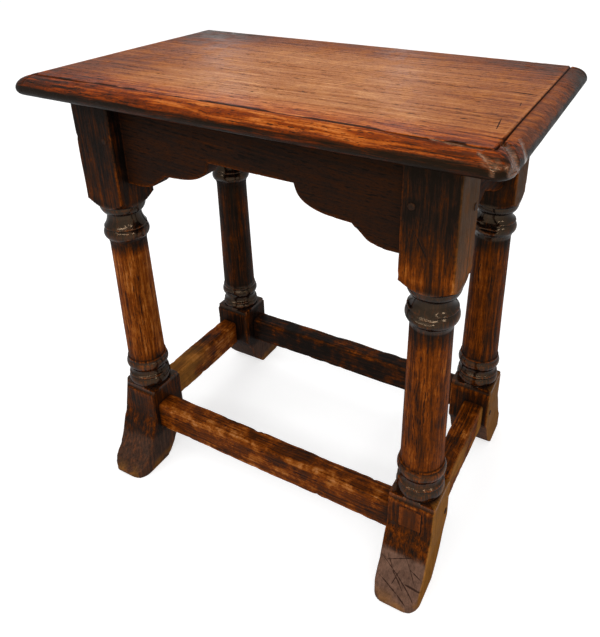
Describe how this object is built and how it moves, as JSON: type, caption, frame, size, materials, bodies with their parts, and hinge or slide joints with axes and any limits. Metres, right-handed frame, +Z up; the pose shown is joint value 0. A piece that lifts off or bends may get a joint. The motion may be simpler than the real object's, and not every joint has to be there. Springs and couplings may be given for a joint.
{
  "type": "joint stool",
  "caption": "Pegged oak joint stool: moulded rectangular seat on turned legs with kicked feet, arched rails and low stretchers.",
  "frame": {"origin": "on the floor under the middle of the seat", "axes": "+X along the seat to the right, -Y is the front, +Z up"},
  "size_m": [0.485, 0.315, 0.485],
  "materials": {
    "seat_oak": "worn and waxed oak, warm tan to red-brown",
    "rail_oak": "very dark waxed oak, close to black",
    "leg_oak": "dark red-brown waxed oak, polished on the rings",
    "stretcher_oak": "worn orange-brown oak",
    "peg_oak": "dark oak end grain",
    "patch_oak": "slightly paler waxed oak"
  },
  "bodies": {
    "root": {"seat_board": "seat_oak", "front_rail": "rail_oak", "back_rail": "rail_oak", "left_rail": "rail_oak", "right_rail": "rail_oak", "front_stretcher": "stretcher_oak", "back_stretcher": "stretcher_oak", "left_stretcher": "stretcher_oak", "right_stretcher": "stretcher_oak", "repair_patch": "patch_oak", "seat_pegs": "peg_oak", "leg_front_left": "leg_oak", "upper_pegs_front_left": "peg_oak", "lower_pegs_front_left": "peg_oak", "leg_front_right": "leg_oak", "upper_pegs_front_right": "peg_oak", "lower_pegs_front_right": "peg_oak", "leg_back_left": "leg_oak", "upper_pegs_back_left": "peg_oak", "lower_pegs_back_left": "peg_oak", "leg_back_right": "leg_oak", "upper_pegs_back_right": "peg_oak", "lower_pegs_back_right": "peg_oak"}
  },
  "joints": []
}
